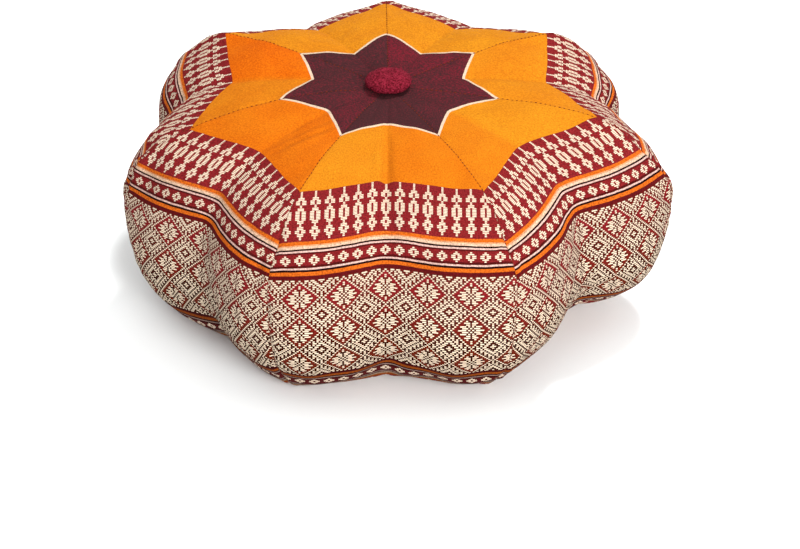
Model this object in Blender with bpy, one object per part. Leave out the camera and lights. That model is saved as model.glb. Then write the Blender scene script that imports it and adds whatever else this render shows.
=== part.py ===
"""A round meditation cushion: seven gores of striped cloth sewn into one stuffed body, and its button.

Each gore runs from the centre of the top, over the rim and under the cushion. The seams between the
gores stand proud as the crests of seven lobes, and the middle of each gore is drawn in as a valley.
Metres, +Z up, the origin on the floor at the middle of the footprint's box. +Y is the back.
"""

import math

import bmesh
import bpy
from mathutils import Vector

MM = 0.001

# The body
GORES = 7
BACK_SEAM_DEG = 90.0
FLOOR_HEIGHT = 0.0
# Where one stripe of the cloth crosses the middle of a gore, and where it meets the seam.
# Columns: name, valley_radius, valley_height, seam_radius, seam_height, puff, all in mm.
# puff is how far the half gore swells between its valley and its seam.
STATIONS = (
    ("centre", 0.0, 178.0, 0.0, 178.0, 0.0),
    ("button_seat", 13.5, 178.0, 13.5, 178.0, 0.0),
    ("button_rim", 21.0, 177.2, 21.0, 178.2, 0.0),
    ("star_middle", 38.5, 176.9, 50.0, 178.4, 0.5),
    ("star_edge", 58.6, 176.8, 84.0, 177.4, 1.0),
    ("orange_middle", 91.5, 173.4, 123.5, 174.8, 2.0),
    ("orange_edge", 124.4, 166.6, 159.9, 167.6, 3.0),
    ("red_middle", 145.4, 157.9, 182.0, 156.4, 4.5),
    ("band_top", 163.6, 145.6, 200.3, 139.8, 6.0),
    ("band_bottom", 179.6, 122.3, 213.8, 118.0, 8.0),
    ("field_upper", 185.0, 91.0, 218.0, 86.0, 9.0),
    ("field_lower", 181.0, 59.0, 214.5, 53.5, 8.5),
    ("lower_band_top", 170.0, 30.5, 201.0, 23.5, 6.5),
    ("lower_band_bottom", 149.0, 12.5, 181.0, 5.5, 3.5),
    ("lower_red_middle", 127.0, 4.0, 158.0, 0.6, 1.0),
    ("lower_orange_edge", 102.0, 0.0, 132.0, 0.0, 0.0),
    ("lower_orange_middle", 68.0, 0.0, 88.0, 0.0, 0.0),
    ("lower_star_edge", 34.0, 0.0, 45.0, 0.0, 0.0),
    ("underside_centre", 0.0, 6.0, 0.0, 6.0, 0.0),
)
STEPS_BETWEEN_STATIONS = 2
# Shares of the way from a gore's valley to its seam at which the half gore has a row of points.
ACROSS_HALF_GORE = (0.0, 0.08, 0.2, 0.36, 0.54, 0.72, 0.87, 0.965, 1.0)
VALLEY_SOFTNESS = 0.09
SEAM_GROOVE_DEPTH = 1.4 * MM
SEAM_GROOVE_SHARE = 0.035
SEAM_GROOVE_FROM_RADIUS = 20.0 * MM
SEAM_GROOVE_FULL_RADIUS = 50.0 * MM
NORMAL_STEP = 0.05

# Each lobe and each valley is a little off the even shape, as on a hand-stuffed cushion.
# Columns: turn in degrees, then in mm the reach and the drop at the rim, and the lift under it.
# The first valley is the front one, and they go on to the right.
VALLEYS = (
    (0.0, 5.0, 2.0, 0.0),
    (0.0, 2.0, -1.0, 12.0),
    (0.0, 1.0, -1.0, 3.0),
    (0.0, -1.0, 0.0, 0.0),
    (0.0, -1.0, -1.0, 0.0),
    (0.0, -4.0, 0.0, 2.0),
    (0.0, -2.0, 1.0, 0.0),
)
# The first seam is the one to the right of the front valley.
SEAMS = (
    (0.0, 2.0, 0.0, 0.0),
    (0.0, 6.0, -3.0, 15.0),
    (0.0, 2.0, -1.0, 6.0),
    (0.0, -3.0, 0.0, 0.0),
    (0.0, -2.0, -3.0, 0.0),
    (0.0, -9.0, 3.0, 5.0),
    (0.0, -1.0, 2.0, 3.0),
)
UNEVEN_FROM_RADIUS = 60.0 * MM
UNEVEN_FULL_RADIUS = 160.0 * MM
DROP_FULL_HEIGHT = 40.0 * MM
LIFT_FROM_RADIUS = 120.0 * MM
LIFT_FULL_RADIUS = 185.0 * MM
LIFT_LOW_HEIGHT = 15.0 * MM
LIFT_HIGH_HEIGHT = 95.0 * MM

# The button
BUTTON_GAP = 0.3 * MM
BUTTON_RADIUS = 18.2 * MM
BUTTON_FOOT_RADIUS = 13.0 * MM
BUTTON_RIM_HEIGHT = 6.4 * MM
BUTTON_CROWN_HEIGHT = 11.6 * MM
BUTTON_SIDES = 40
BUTTON_DOME_STEPS = 7
BUTTON_TUCK_STEPS = 4
BUTTON_SHARP_DEG = 50.0


def clear_scene():
    for thing in list(bpy.data.objects):
        bpy.data.objects.remove(thing, do_unlink=True)


def cloth_material(name, colour, roughness):
    material = bpy.data.materials.new(name)
    material.use_nodes = True
    shader = material.node_tree.nodes["Principled BSDF"]
    shader.inputs["Base Color"].default_value = (*colour, 1.0)
    shader.inputs["Roughness"].default_value = roughness
    shader.inputs["Metallic"].default_value = 0.0
    return material


def smooth_step(low, high, value):
    share = min(1.0, max(0.0, (value - low) / (high - low)))
    return share * share * (3.0 - 2.0 * share)


def curve_through(before, start, end, after, share):
    """A point between start and end on the smooth curve that also passes through their neighbours."""
    return 0.5 * (
        2.0 * start
        + (end - before) * share
        + (2.0 * before - 5.0 * start + 4.0 * end - after) * share**2
        + (3.0 * start - before - 3.0 * end + after) * share**3
    )


def cloth_row(place):
    """The named sizes of a row of points, in metres, at a place counted in stations from the centre."""
    index = min(int(place), len(STATIONS) - 2)
    share = place - index
    last = len(STATIONS) - 1
    near = [STATIONS[min(last, max(0, index + step))][1:] for step in (-1, 0, 1, 2)]
    values = [curve_through(*sizes, share) * MM for sizes in zip(*near)]
    return dict(zip(("valley_radius", "valley_height", "seam_radius", "seam_height", "puff"), values))


def outward_normal(place):
    """The direction that is square to the cloth, as its radial and its upward share."""
    before = cloth_row(max(0.0, place - NORMAL_STEP))
    after = cloth_row(min(len(STATIONS) - 1.0, place + NORMAL_STEP))
    along = Vector(
        (
            after["valley_radius"] + after["seam_radius"] - before["valley_radius"] - before["seam_radius"],
            after["valley_height"] + after["seam_height"] - before["valley_height"] - before["seam_height"],
        )
    ).normalized()
    return Vector((-along.y, along.x))


def crease_point(radius, height, angle_deg, uneven):
    """A point on a valley or a seam, moved off the even shape by its own turn, reach, drop and lift."""
    turn, reach, drop, lift = uneven
    weight = smooth_step(UNEVEN_FROM_RADIUS, UNEVEN_FULL_RADIUS, radius)
    standing = smooth_step(FLOOR_HEIGHT, DROP_FULL_HEIGHT, height)
    under = smooth_step(LIFT_FROM_RADIUS, LIFT_FULL_RADIUS, radius)
    under *= 1.0 - smooth_step(LIFT_LOW_HEIGHT, LIFT_HIGH_HEIGHT, height)
    angle = math.radians(angle_deg + turn * smooth_step(0.0, UNEVEN_FULL_RADIUS, radius))
    out = radius + reach * MM * weight
    up = height - drop * MM * weight * standing + lift * MM * under
    return Vector((out * math.cos(angle), out * math.sin(angle), up))


def body_point(place, gore, share):
    """A point of the body: share runs from -1 at a gore's right-hand seam, over 0 at its valley, to 1."""
    sizes = cloth_row(place)
    gore_turn = 360.0 / GORES
    valley_deg = BACK_SEAM_DEG - 180.0 + gore * gore_turn
    seam_number = gore if share > 0 else gore - 1
    seam_deg = valley_deg + math.copysign(gore_turn / 2.0, share)
    valley = crease_point(sizes["valley_radius"], sizes["valley_height"], valley_deg, VALLEYS[gore])
    seam = crease_point(sizes["seam_radius"], sizes["seam_height"], seam_deg, SEAMS[seam_number % GORES])
    soft = math.hypot(abs(share), VALLEY_SOFTNESS) - VALLEY_SOFTNESS
    along = soft / (math.hypot(1.0, VALLEY_SOFTNESS) - VALLEY_SOFTNESS)
    middle_share = 0.5 * (along + abs(share))
    point = valley.lerp(seam, along)
    angle = math.atan2(point.y, point.x)
    lift = sizes["puff"] * 4.0 * middle_share * (1.0 - middle_share)
    from_seam = (1.0 - abs(share)) / SEAM_GROOVE_SHARE
    groove = SEAM_GROOVE_DEPTH * math.exp(-from_seam * from_seam)
    lift -= groove * smooth_step(SEAM_GROOVE_FROM_RADIUS, SEAM_GROOVE_FULL_RADIUS, point.xy.length)
    normal = outward_normal(place)
    point.x += lift * normal.x * math.cos(angle)
    point.y += lift * normal.x * math.sin(angle)
    point.z = max(FLOOR_HEIGHT, point.z + lift * normal.y)
    return point


def body_rows():
    """Rings of points from the top centre to the underside's centre, without the two centres."""
    places = [
        station + step / STEPS_BETWEEN_STATIONS
        for station in range(len(STATIONS) - 1)
        for step in range(STEPS_BETWEEN_STATIONS)
    ]
    spread = [-share for share in reversed(ACROSS_HALF_GORE[1:])] + list(ACROSS_HALF_GORE[:-1])
    return [[body_point(place, gore, share) for gore in range(GORES) for share in spread] for place in places[1:]]


def build_body(material):
    mesh = bpy.data.meshes.new("cushion")
    shape = bmesh.new()
    rows = [[shape.verts.new(point) for point in row] for row in body_rows()]
    top = shape.verts.new((0.0, 0.0, STATIONS[0][2] * MM))
    bottom = shape.verts.new((0.0, 0.0, STATIONS[-1][2] * MM))
    count = len(rows[0])
    for here in range(count):
        there = (here + 1) % count
        shape.faces.new((top, rows[0][here], rows[0][there]))
        for upper, lower in zip(rows, rows[1:]):
            shape.faces.new((upper[here], lower[here], lower[there], upper[there]))
        shape.faces.new((rows[-1][here], bottom, rows[-1][there]))
    bmesh.ops.triangulate(shape, faces=shape.faces[:])
    bmesh.ops.recalc_face_normals(shape, faces=shape.faces[:])
    shape.to_mesh(mesh)
    shape.free()
    mesh.shade_smooth()
    mesh.materials.append(material)
    body = bpy.data.objects.new("cushion", mesh)
    bpy.context.scene.collection.objects.link(body)
    return body


def button_profile():
    """Radius and height pairs from the middle of the crown, round the rim and in to the foot."""
    profile = []
    for step in range(BUTTON_DOME_STEPS + 1):
        turn = math.radians(90.0) * step / BUTTON_DOME_STEPS
        rise = BUTTON_CROWN_HEIGHT - BUTTON_RIM_HEIGHT
        profile.append((BUTTON_RADIUS * math.sin(turn), BUTTON_RIM_HEIGHT + rise * math.cos(turn)))
    for step in range(1, BUTTON_TUCK_STEPS + 1):
        turn = math.radians(90.0) * step / BUTTON_TUCK_STEPS
        inset = (BUTTON_RADIUS - BUTTON_FOOT_RADIUS) * (1.0 - math.cos(turn))
        profile.append((BUTTON_RADIUS - inset, BUTTON_RIM_HEIGHT * (1.0 - math.sin(turn))))
    return profile


def build_button(material, seat_height):
    """The covered button: a turned dome that stands on the gathered centre of the top."""
    mesh = bpy.data.meshes.new("button")
    shape = bmesh.new()
    profile = button_profile()
    crown = shape.verts.new((0.0, 0.0, profile[0][1]))
    rings = [
        [
            shape.verts.new(
                (
                    radius * math.cos(math.tau * side / BUTTON_SIDES),
                    radius * math.sin(math.tau * side / BUTTON_SIDES),
                    height,
                )
            )
            for side in range(BUTTON_SIDES)
        ]
        for radius, height in profile[1:]
    ]
    for side in range(BUTTON_SIDES):
        beside = (side + 1) % BUTTON_SIDES
        shape.faces.new((crown, rings[0][side], rings[0][beside]))
        for upper, lower in zip(rings, rings[1:]):
            shape.faces.new((upper[side], lower[side], lower[beside], upper[beside]))
    shape.faces.new(rings[-1])
    bmesh.ops.recalc_face_normals(shape, faces=shape.faces[:])
    shape.to_mesh(mesh)
    shape.free()
    mesh.shade_smooth()
    mesh.set_sharp_from_angle(angle=math.radians(BUTTON_SHARP_DEG))
    mesh.materials.append(material)
    button = bpy.data.objects.new("button", mesh)
    button.location.z = seat_height + BUTTON_GAP
    bpy.context.scene.collection.objects.link(button)
    return button


def stand_on_origin(body, others):
    """Shifts everything level, so that the middle of the body's footprint box is over the origin."""
    across = [vertex.co.x for vertex in body.data.vertices]
    deep = [vertex.co.y for vertex in body.data.vertices]
    shift = Vector((-(min(across) + max(across)) / 2.0, -(min(deep) + max(deep)) / 2.0, 0.0))
    for thing in [body, *others]:
        thing.location += shift


def main():
    clear_scene()
    cover = cloth_material("woven_cover", (0.62, 0.16, 0.06), 0.8)
    button_cloth = cloth_material("button_cloth", (0.30, 0.02, 0.05), 0.85)
    body = build_body(cover)
    button = build_button(button_cloth, STATIONS[0][2] * MM)
    stand_on_origin(body, [button])
    bpy.context.view_layer.update()


main()
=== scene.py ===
"""A round meditation cushion, sewn from seven gores of one striped and patterned cloth, with a button.

Every gore is cut with the middle of a woven repeat on its mid-line. A place on the cloth is given by two
numbers: how far along the gore it lies, from the button outwards, and how far across, from the mid-line.
"""

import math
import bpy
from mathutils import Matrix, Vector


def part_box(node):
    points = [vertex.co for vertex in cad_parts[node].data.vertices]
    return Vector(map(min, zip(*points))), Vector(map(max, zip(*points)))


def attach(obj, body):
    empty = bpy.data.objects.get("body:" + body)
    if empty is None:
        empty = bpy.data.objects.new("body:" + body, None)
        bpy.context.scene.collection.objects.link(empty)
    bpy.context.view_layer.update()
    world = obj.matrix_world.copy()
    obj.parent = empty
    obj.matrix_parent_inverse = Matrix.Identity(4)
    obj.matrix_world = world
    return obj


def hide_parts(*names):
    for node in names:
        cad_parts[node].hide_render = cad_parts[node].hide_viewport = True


bl_info = {
    "name": "Meditation Cushion",
    "version": (1, 0, 0),
    "blender": (4, 5, 0),
    "location": "View3D > Sidebar > Cushion",
    "description": "Sews a round stuffed cushion from gores of patterned cloth",
    "category": "Add Mesh",
}

import bpy
import numpy as np
from bpy.props import FloatProperty, FloatVectorProperty, PointerProperty
from mathutils import Vector

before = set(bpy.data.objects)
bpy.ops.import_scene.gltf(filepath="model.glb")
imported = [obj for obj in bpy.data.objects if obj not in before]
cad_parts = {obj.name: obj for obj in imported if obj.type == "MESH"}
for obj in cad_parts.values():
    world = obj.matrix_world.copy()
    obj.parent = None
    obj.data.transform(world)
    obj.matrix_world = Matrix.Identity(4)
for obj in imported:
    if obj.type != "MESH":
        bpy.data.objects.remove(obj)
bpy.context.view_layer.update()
MM = 0.001

# The button's box gives the upright axis that the gores meet on.
BUTTON_LOW, BUTTON_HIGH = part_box("button")
AXIS = Vector(((BUTTON_LOW.x + BUTTON_HIGH.x) / 2.0, (BUTTON_LOW.y + BUTTON_HIGH.y) / 2.0, 0.0))
TINY = 1e-12

# The body
GORES = 7
GORE_TURN = math.tau / GORES
FRONT_VALLEY = math.radians(-90.0)
# Where one stripe of the cloth crosses the middle of a gore, its valley, and where it meets the seam.
# Columns: name, cloth, valley_radius, valley_height, seam_radius, seam_height, puff, softness.
# cloth is the length of gore from the centre, and puff how far the half gore swells, all in mm.
# softness is the rounding of the valley, as a share of the half gore.
STATIONS = (
    ("centre", 0, 0, 178, 0, 178, 0, 0.03),
    ("button_seat", 13.5, 13.5, 178, 13.5, 178, 0, 0.03),
    ("button_rim", 21, 21, 177.2, 21, 178.2, 0, 0.03),
    ("star_middle", 38.5, 38.5, 176.9, 50, 178.4, 0.5, 0.03),
    ("star_edge", 59.3, 58.6, 176.8, 84, 177.4, 1, 0.03),
    ("orange_middle", 92.5, 91.5, 173.4, 123.5, 174.8, 2, 0.03),
    ("orange_edge", 126, 124.4, 166.6, 159.9, 167.6, 4.5, 0.06),
    ("red_middle", 148, 144.5, 158.3, 179.5, 157.5, 6.5, 0.08),
    ("band_top", 170.5, 162.7, 147.3, 195.5, 142, 8, 0.1),
    ("band_bottom", 199, 180.8, 125.3, 215.5, 121, 9, 0.12),
    ("field_upper", 228.3, 183.5, 96.1, 216.5, 93.5, 9, 0.16),
    ("field_lower", 257.5, 183.5, 66.9, 211.5, 63, 9.5, 0.24),
    ("lower_band_top", 286.8, 173.8, 39.6, 199.5, 33.5, 7, 0.28),
    ("lower_band_bottom", 315.3, 155.5, 15, 179, 10, 3, 0.3),
    ("lower_red_middle", 337.5, 134, 4.5, 160, 1.2, 0, 0.3),
    ("lower_orange_edge", 359.8, 104, 0.8, 132, 0.6, 0, 0.2),
    ("lower_orange_middle", 393, 68, 0.6, 88, 0.6, 0, 0.2),
    ("lower_star_edge", 426.5, 34, 0.8, 45, 0.8, 0, 0.2),
    ("underside_centre", 485.8, 0, 6, 0, 6, 0, 0.2),
)
CLOTH, VALLEY_RADIUS, VALLEY_HEIGHT, SEAM_RADIUS, SEAM_HEIGHT, PUFF, SOFTNESS = range(7)
# Each lobe and each valley is a little off the even shape, as on a hand-stuffed cushion.
# Columns: in mm, the reach and the drop at each of the uneven stations. The first valley is the front one,
# and the first seam is the one to its right.
VALLEYS = (
    (4, 1.5, 5, 2, 5, 2, 5, 1, 5, 0, 2.5, 0),
    (1, 0, 1, -1, 1, -1, 4, -1, 13, -22.5, 4, -22.5),
    (1, 2, 0, 1, -3, -1, -4, -1, 0, 0, 0, 0),
    (-1, 0.5, -1, 0, -1, 0, -1, 0, -1, 0, 0, 0),
    (-1, 0.5, -2, 2, -3, 1, -2, 0, -1, 0, 0, 0),
    (-1, 0, -3, 0, -5, 0, -5, 0, -5, 0, -2.5, 0),
    (2, 2.5, 2, 4.4, -1.7, 5.6, -1, 2, -1, 4.5, -0.5, 2),
)
SEAMS = (
    (2, 0, 2, 0, 2, 0, 2, 0, 2, 0, 1, 0),
    (3.5, -2, 3.5, -3, 3.5, -3, 6, -3, 11, -14, 3, -9),
    (0, -1, -2, -1, -4, -1, -4, -1, 0, -6, 0, -3),
    (-5, 1.5, -4, 1, -4, 0, -5, 0, -5, 0, -2.5, 0),
    (0.6, -4, -3, -4.5, -8, -4.5, -8, -4, -7, 0, -3.5, 0),
    (-3.4, 7.8, 1.8, 4.2, -11.5, 7, -11, 3, -8, 3, -4, 1),
    (-1, 2, -1, 2, -1, 2, 0, 1, 0, 0, 0, 0),
)
# The unevenness starts at the first of these stations, ends at the last and is in the table for the others.
UNEVEN_STATIONS = (
    "star_edge",
    "orange_edge",
    "band_top",
    "band_bottom",
    "field_lower",
    "lower_band_bottom",
    "lower_red_middle",
    "lower_orange_edge",
)
FRONT_VALLEY_TURN = math.radians(-1.3)
# On the top the puff lifts the cloth less from the first of these radii on, and past the second it only
# pushes the cloth outwards.
PUFF_LEVEL_RADII = (85.0 * MM, 150.0 * MM)
SLOPE_STEP = 0.05


def smooth_step(low, high, value):
    share = np.clip((value - low) / (high - low), 0.0, 1.0)
    return share * share * (3.0 - 2.0 * share)


def smooth_rows(table, place):
    """The table's columns at places counted in rows, on a Catmull-Rom curve through the rows."""
    place = np.asarray(place, float)
    last = len(table) - 1
    index = np.clip(place.astype(int), 0, last - 1)
    share = (place - index)[..., None]
    before, start, end, after = (table[np.clip(index + step, 0, last)] for step in (-1, 0, 1, 2))
    bend = 2.0 * before - 5.0 * start + 4.0 * end - after
    twist = 3.0 * start - before - 3.0 * end + after
    return 0.5 * (2.0 * start + (end - before) * share + bend * share**2 + twist * share**3)


def station_values(place):
    """The station table's columns at places counted in stations."""
    return smooth_rows(np.array([row[1:] for row in STATIONS]), place)


def crease_points(places, radius, height, angle, uneven):
    """Points on valleys or seams, moved off the even shape by their own row of uneven."""
    names = [row[0] for row in STATIONS]
    knots = [names.index(name) for name in UNEVEN_STATIONS]
    table = np.pad(np.array(uneven).reshape(len(uneven), -1, 2) * MM, ((0, 0), (1, 1), (0, 0)))
    reach, drop = (
        np.stack([np.interp(places, knots, row) for row in table[..., kind]], axis=-1) for kind in (0, 1)
    )
    out, up = radius + reach, height - drop
    return np.stack([out * np.cos(angle), out * np.sin(angle), up], axis=-1)


def body_points(places, shares):
    """Points of the body by place, gore and share.

    share runs from -1 at a gore's right-hand seam, as seen from its end, over 0 at its valley, to 1.
    """
    values = station_values(places)[:, None, None, :]
    radii = values[..., VALLEY_RADIUS] * MM, values[..., SEAM_RADIUS] * MM
    heights = values[..., VALLEY_HEIGHT] * MM, values[..., SEAM_HEIGHT] * MM
    gores = np.arange(GORES)
    valley_angle = (FRONT_VALLEY + gores * GORE_TURN)[None, :, None]
    turned = valley_angle[..., 0] + FRONT_VALLEY_TURN * (gores == 0)
    valley = crease_points(places, radii[0][..., 0], heights[0][..., 0], turned, VALLEYS)
    ends = []
    for side in (-1, 1):
        order = [SEAMS[(gore if side > 0 else gore - 1) % GORES] for gore in gores]
        angle = valley_angle[..., 0] + side * GORE_TURN / 2.0
        ends.append(crease_points(places, radii[1][..., 0], heights[1][..., 0], angle, order))
    shares = np.asarray(shares, float)
    soft = values[..., SOFTNESS]
    reach = np.abs(shares)[None, None, :]
    rise = ((np.hypot(reach, soft) - soft) / (np.hypot(1.0, soft) - soft))[..., None]
    right = (shares > 0)[None, None, :, None]
    seam = np.where(right, ends[1][:, :, None, :], ends[0][:, :, None, :])
    sideways = np.stack([-np.sin(valley_angle), np.cos(valley_angle), 0.0 * valley_angle], axis=-1)
    apart = seam - valley[:, :, None, :]
    level = (apart * sideways).sum(axis=-1, keepdims=True) * sideways
    points = valley[:, :, None, :] + level * reach[..., None] + (apart - level) * rise
    lift = (values[..., PUFF][..., None] * MM * 4.0 * rise * (1.0 - rise))[..., 0]
    last = len(STATIONS) - 1.0
    fore, aft = (station_values(np.clip(places + way * SLOPE_STEP, 0.0, last)) for way in (-1, 1))
    change = aft - fore
    out = change[:, VALLEY_RADIUS] + change[:, SEAM_RADIUS]
    up = change[:, VALLEY_HEIGHT] + change[:, SEAM_HEIGHT]
    size = np.hypot(out, up) + TINY
    angle = np.arctan2(points[..., 1], points[..., 0])
    level = (-up / size)[:, None, None]
    flat = 1.0 - smooth_step(*PUFF_LEVEL_RADII, np.hypot(points[..., 0], points[..., 1]))
    rise = np.minimum(0.0, out / size)[:, None, None] + np.maximum(0.0, out / size)[:, None, None] * flat
    points[..., 0] += lift * level * np.cos(angle)
    points[..., 1] += lift * level * np.sin(angle)
    points[..., 2] += lift * rise
    return points


# The cover's mesh
ROWS_BETWEEN_STATIONS = (3, 5, 8, 9, 12, 13, 10, 11, 14, 14, 14, 14, 12, 9, 6, 5, 5, 4)
HALF_GORE_COLUMNS = 26
# Shares of the columns' spacing that are even, and that crowd towards the valley and the seam.
EVEN_COLUMNS, CROWDED_COLUMNS = 0.55, 0.45
TOP_CENTRE_DROP = 0.2 * MM
CLOTH_UNDER_CENTRE = 12.0 * MM

# The stuffing: the stretch of cloth that swells, the coarse grid it swells on, and how the cloth behaves,
# as Blender's own settings.
STUFFED_FROM, STUFFED_TO = 45.0 * MM, 345.0 * MM
STUFF_ROW_STEP, STUFF_COLUMN_STEP = 2, 2
STUFF_STEPS = 20
STUFF_SMOOTHING = 2
STUFF_SETTINGS = {
    "quality": 6,
    "mass": 0.25,
    "tension_stiffness": 12.0,
    "compression_stiffness": 12.0,
    "shear_stiffness": 4.0,
    "bending_stiffness": 0.25,
    "vertex_group_mass": "Sewn",
    "pin_stiffness": 4.0,
    "use_pressure": True,
}
# Valleys are held fast on the top and only this much on the side, and the top swells by this share.
VALLEY_HOLD = 0.4
TOP_SWELL = 0.25
# Columns at shares below the first of these are the valley, and above the second the seam.
AT_VALLEY, AT_SEAM = 0.001, 0.999
VALLEY_LOOSENS = (140.0 * MM, 200.0 * MM)
SIDE_SWELLS = (125.0 * MM, 190.0 * MM)

# Stretches over which details come in or fade out: places along the cloth, and radii on the top.
SIDE_STARTS = (120.0 * MM, 175.0 * MM)
UPPER_ENDS = (300.0 * MM, 345.0 * MM)
DARTS_END = (112.0 * MM, 150.0 * MM)
DARTS_START = (14.0 * MM, 30.0 * MM)
GROOVES_START = (18.0 * MM, 40.0 * MM)
RIPPLES_START = (22.0 * MM, 50.0 * MM)
GATHERS_START, GATHERS_END = (9.0 * MM, 15.0 * MM), (20.0 * MM, 46.0 * MM)
TOP_ENDS = 100.0 * MM
SEAM_GROOVE_WIDTH, SEAM_GROOVE_DEPTH = 1.5 * MM, 0.7 * MM
# On the top the grooves and the puckers beside them have these shares of their size on the side.
GROOVE_ON_TOP, PUCKER_ON_TOP = 0.45, 0.35
SHOULDER_PLACE, SHOULDER_WIDTH, SHOULDER_HEIGHT = 4.0 * MM, 2.6 * MM, 0.4 * MM
DART_WIDTH, DART_DEPTH = 1.6 * MM, 0.3 * MM
PUCKER_REACH, PUCKER_HEIGHT = 15.0 * MM, 0.38 * MM
RUMPLE_HEIGHT, HAND_HEIGHT, GATHER_HEIGHT = 0.55 * MM, 0.35 * MM, 0.45 * MM
GATHER_LEVEL = 0.6
# How uneven the puckers are along a seam, and how short the rumples seem upright, which draws them out.
TUG = 0.4
RUMPLE_DRAW = (1.0, 1.0, 0.45)
# Ripples: how many waves make them up and the range of their lengths, then each kind's wavelength and seed.
# The gathers' wavelength is on a circle of radius 1.
WAVE_COUNT = 14
WAVE_RANGE = (0.75, 1.4)
TUG_WAVES = (60.0 * MM, 3)
PUCKER_WAVES = (11.0 * MM, 5)
RUMPLE_WAVES = (34.0 * MM, 11)
HAND_WAVES = (75.0 * MM, 17)
GATHER_WAVES = (0.55, 23)
BUTTON_WAVES = (7.0 * MM, 29)

# Folds in the cloth. Columns: gore, then in mm the place along and across at its start and at its end, its
# width, and its depth, which is negative for a ridge.
FOLDS = (
    (0, (78, 0.5), (152, -0.5), 3.5, 2.2),
    (0, (84, -7.5), (134, -7.5), 4, -1.7),
    (0, (96, 9), (140, 12), 6, -0.5),
    (0, (24, 4), (48, 10), 1.6, 0.4),
    (0, (24, -6), (52, -15), 1.6, 0.45),
    (1, (29, 12), (54, 5), 1.8, 0.6),
    (1, (24, -5), (50, -12), 1.6, 0.4),
    (1, (60, 5), (112, 14), 4, 0.7),
    (2, (26, -6), (54, -10), 1.8, 0.5),
    (5, (24, 5), (48, 12), 1.6, 0.4),
    (6, (24, 4), (50, 10), 1.6, 0.4),
    (6, (61, 27), (122, 11), 2.4, 2),
    (6, (66, 15), (118, 3), 3.5, 1.2),
    (6, (64, 32), (112, 22), 3, -1),
    (0, (226, -3), (250, -24), 3, 1),
    (0, (246, 4), (268, 26), 3.5, 1.1),
    (1, (222, 4), (240, 24), 3, 1.1),
    (1, (236, -4), (262, -26), 3.5, 1.2),
    (1, (250, 4), (276, 34), 4, 1.3),
    (6, (216, 3), (236, 22), 3, 1.1),
    (6, (230, -4), (254, -28), 3.5, 1.2),
    (6, (244, 4), (270, 32), 4, 1.3),
    (5, (232, 4), (256, 26), 3.5, 1.2),
    (2, (230, -4), (254, -26), 3.5, 1.2),
    (3, (228, 3), (254, 26), 3.5, 1.1),
    (4, (234, -3), (258, -24), 3.5, 1.1),
)
# A fold fades towards its ends along an arc of a sine, which starts this share of the half turn in.
FOLD_END = 0.12


def column_shares():
    """Shares across half a gore, close together by the valley and by the seam."""
    even = np.linspace(0.0, 1.0, HALF_GORE_COLUMNS + 1)
    return EVEN_COLUMNS * even + CROWDED_COLUMNS * (0.5 - 0.5 * np.cos(math.pi * even))


def grid_quads(rows, around):
    """The quads of a grid whose columns go right round, its points' numbers and those beside them."""
    grid = np.arange(rows * around).reshape(rows, around)
    beside = np.roll(grid, -1, axis=1)
    return np.stack([grid[:-1], grid[1:], beside[1:], beside[:-1]], axis=-1).reshape(-1, 4), grid, beside


def new_object(name, data):
    """An object in the scene, at its origin."""
    made = bpy.data.objects.new(name, data)
    bpy.context.scene.collection.objects.link(made)
    return made


class Waves:
    """Soft uneven ripples: a sum of sines whose directions and phases come from a fixed seed."""

    def __init__(self, wavelength, seed):
        source = np.random.default_rng(seed)
        directions = source.normal(size=(WAVE_COUNT, 3))
        directions /= np.linalg.norm(directions, axis=1)[:, None]
        lengths = wavelength * source.uniform(*WAVE_RANGE, size=(WAVE_COUNT, 1))
        self.waves = directions * math.tau / lengths
        self.phases = source.uniform(0.0, math.tau, size=WAVE_COUNT)

    def at(self, points):
        total = np.sin(points @ self.waves.T + self.phases).sum(axis=-1)
        return total / math.sqrt(WAVE_COUNT / 2.0)


def grid_normals(points):
    """Unit normals of a grid of points by place, column and axis, whose columns go right round."""
    down = np.gradient(points, axis=0)
    ahead = np.roll(points, -1, axis=1) - np.roll(points, 1, axis=1)
    normals = np.cross(down, ahead)
    return normals / (np.linalg.norm(normals, axis=-1)[..., None] + TINY)


def spread(values, kept, wanted, axis):
    """Fills in the rows or columns of a coarse grid between the ones that were kept."""
    place = np.interp(wanted, kept, np.arange(len(kept)))
    low = np.minimum(place.astype(int), len(kept) - 2)
    shape = [1, 1, 1]
    shape[axis] = len(wanted)
    share = np.clip(place - low, 0.0, 1.0).reshape(shape)
    return np.take(values, low, axis=axis) * (1.0 - share) + np.take(values, low + 1, axis=axis) * share


def simulate(rest, hold, sizes):
    """Runs a grid of cloth, closed round the cushion, under the filling's pressure."""
    quads = grid_quads(*rest.shape[:2])[0]
    mesh = bpy.data.meshes.new("stuffing")
    mesh.from_pydata(rest.reshape(-1, 3).tolist(), [], quads.tolist())
    cloth = new_object("stuffing", mesh)
    sewn = cloth.vertex_groups.new(name="Sewn")
    for weight in np.unique(hold):
        if weight > 0.0:
            sewn.add(np.flatnonzero(hold.reshape(-1) == weight).tolist(), float(weight), "REPLACE")
    settings = cloth.modifiers.new("Cloth", "CLOTH").settings
    for name, value in STUFF_SETTINGS.items():
        setattr(settings, name, value)
    settings.shrink_min = -sizes.spare_cloth
    settings.uniform_pressure_force = sizes.pressure
    settings.effector_weights.gravity = 0.0
    scene = bpy.context.scene
    for number in range(1, STUFF_STEPS + 1):
        scene.frame_set(number)
    result = cloth.evaluated_get(bpy.context.evaluated_depsgraph_get()).to_mesh()
    points = np.empty(len(result.vertices) * 3)
    result.vertices.foreach_get("co", points)
    scene.frame_set(1)
    bpy.data.objects.remove(cloth)
    bpy.data.meshes.remove(mesh)
    return points.reshape(rest.shape)


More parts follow.
